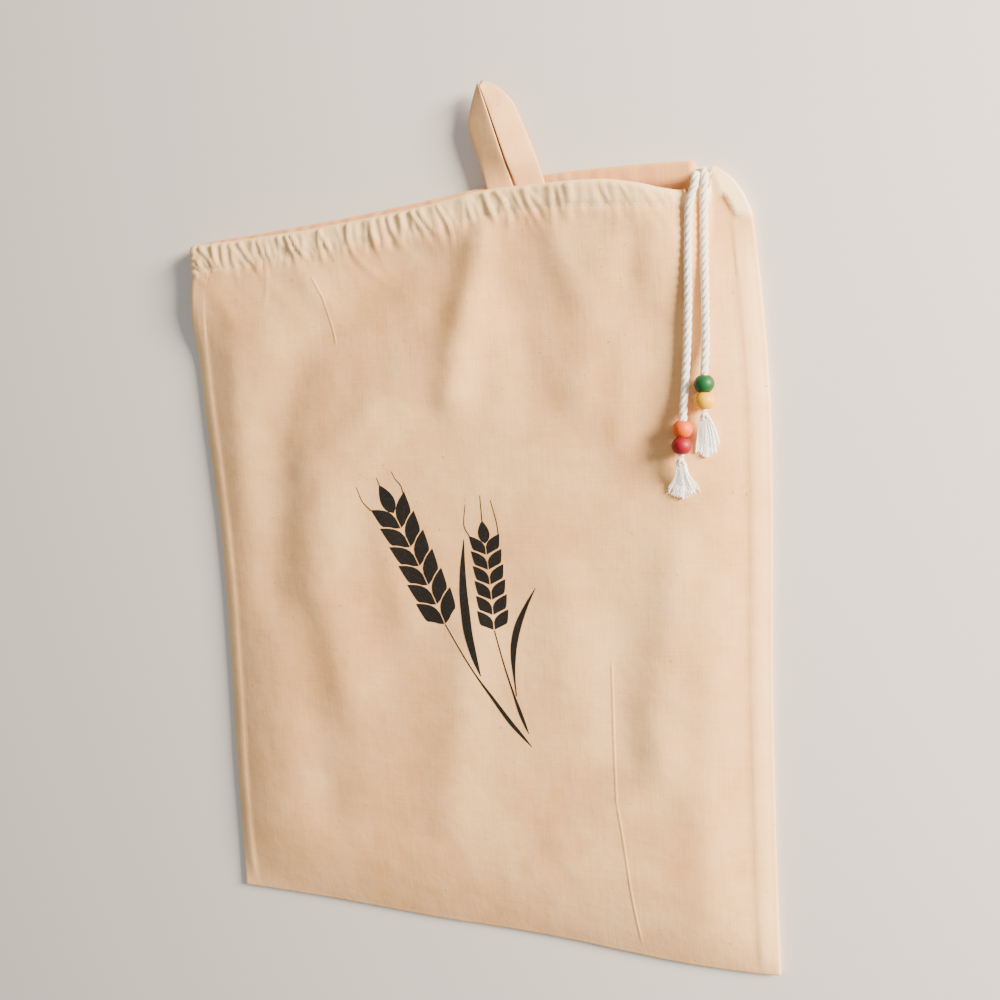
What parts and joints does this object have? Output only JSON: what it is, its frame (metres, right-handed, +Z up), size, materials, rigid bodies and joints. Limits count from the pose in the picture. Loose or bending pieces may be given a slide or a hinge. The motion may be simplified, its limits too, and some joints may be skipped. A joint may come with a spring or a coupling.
{
  "type": "drawstring bread bag",
  "caption": "Flat cloth bread bag lying on its back, with a drawstring in its hem, beaded cord ends with frayed tassels and a hanging tape.",
  "frame": {"origin": "on the floor under the middle of the bag's back panel", "axes": "+Z up from the floor the bag lies on, +Y along the bag towards its mouth, +X towards the side seam where the cord ends come out"},
  "size_m": [0.3288, 0.4554, 0.0231],
  "materials": {
    "linen": "matt, plain woven, unbleached",
    "linen_tape": "matt, plain woven, unbleached",
    "cotton_cord": "matt, three twisted plies",
    "cotton_tail": "matt, three twisted plies, frayed at the ends",
    "bead_orange_paint": "satin paint",
    "bead_red_paint": "satin paint",
    "bead_green_paint": "satin paint",
    "bead_yellow_paint": "satin paint"
  },
  "bodies": {
    "root": {"bag_cloth": "linen", "hanging_tape": "linen_tape", "drawstring_in_casing": "cotton_cord", "cord_tail_left": "cotton_tail", "cord_tail_right": "cotton_tail", "bead_orange": "bead_orange_paint", "bead_red": "bead_red_paint", "bead_green": "bead_green_paint", "bead_yellow": "bead_yellow_paint", "tassel_left": "cotton_tail", "tassel_right": "cotton_tail"}
  },
  "joints": []
}
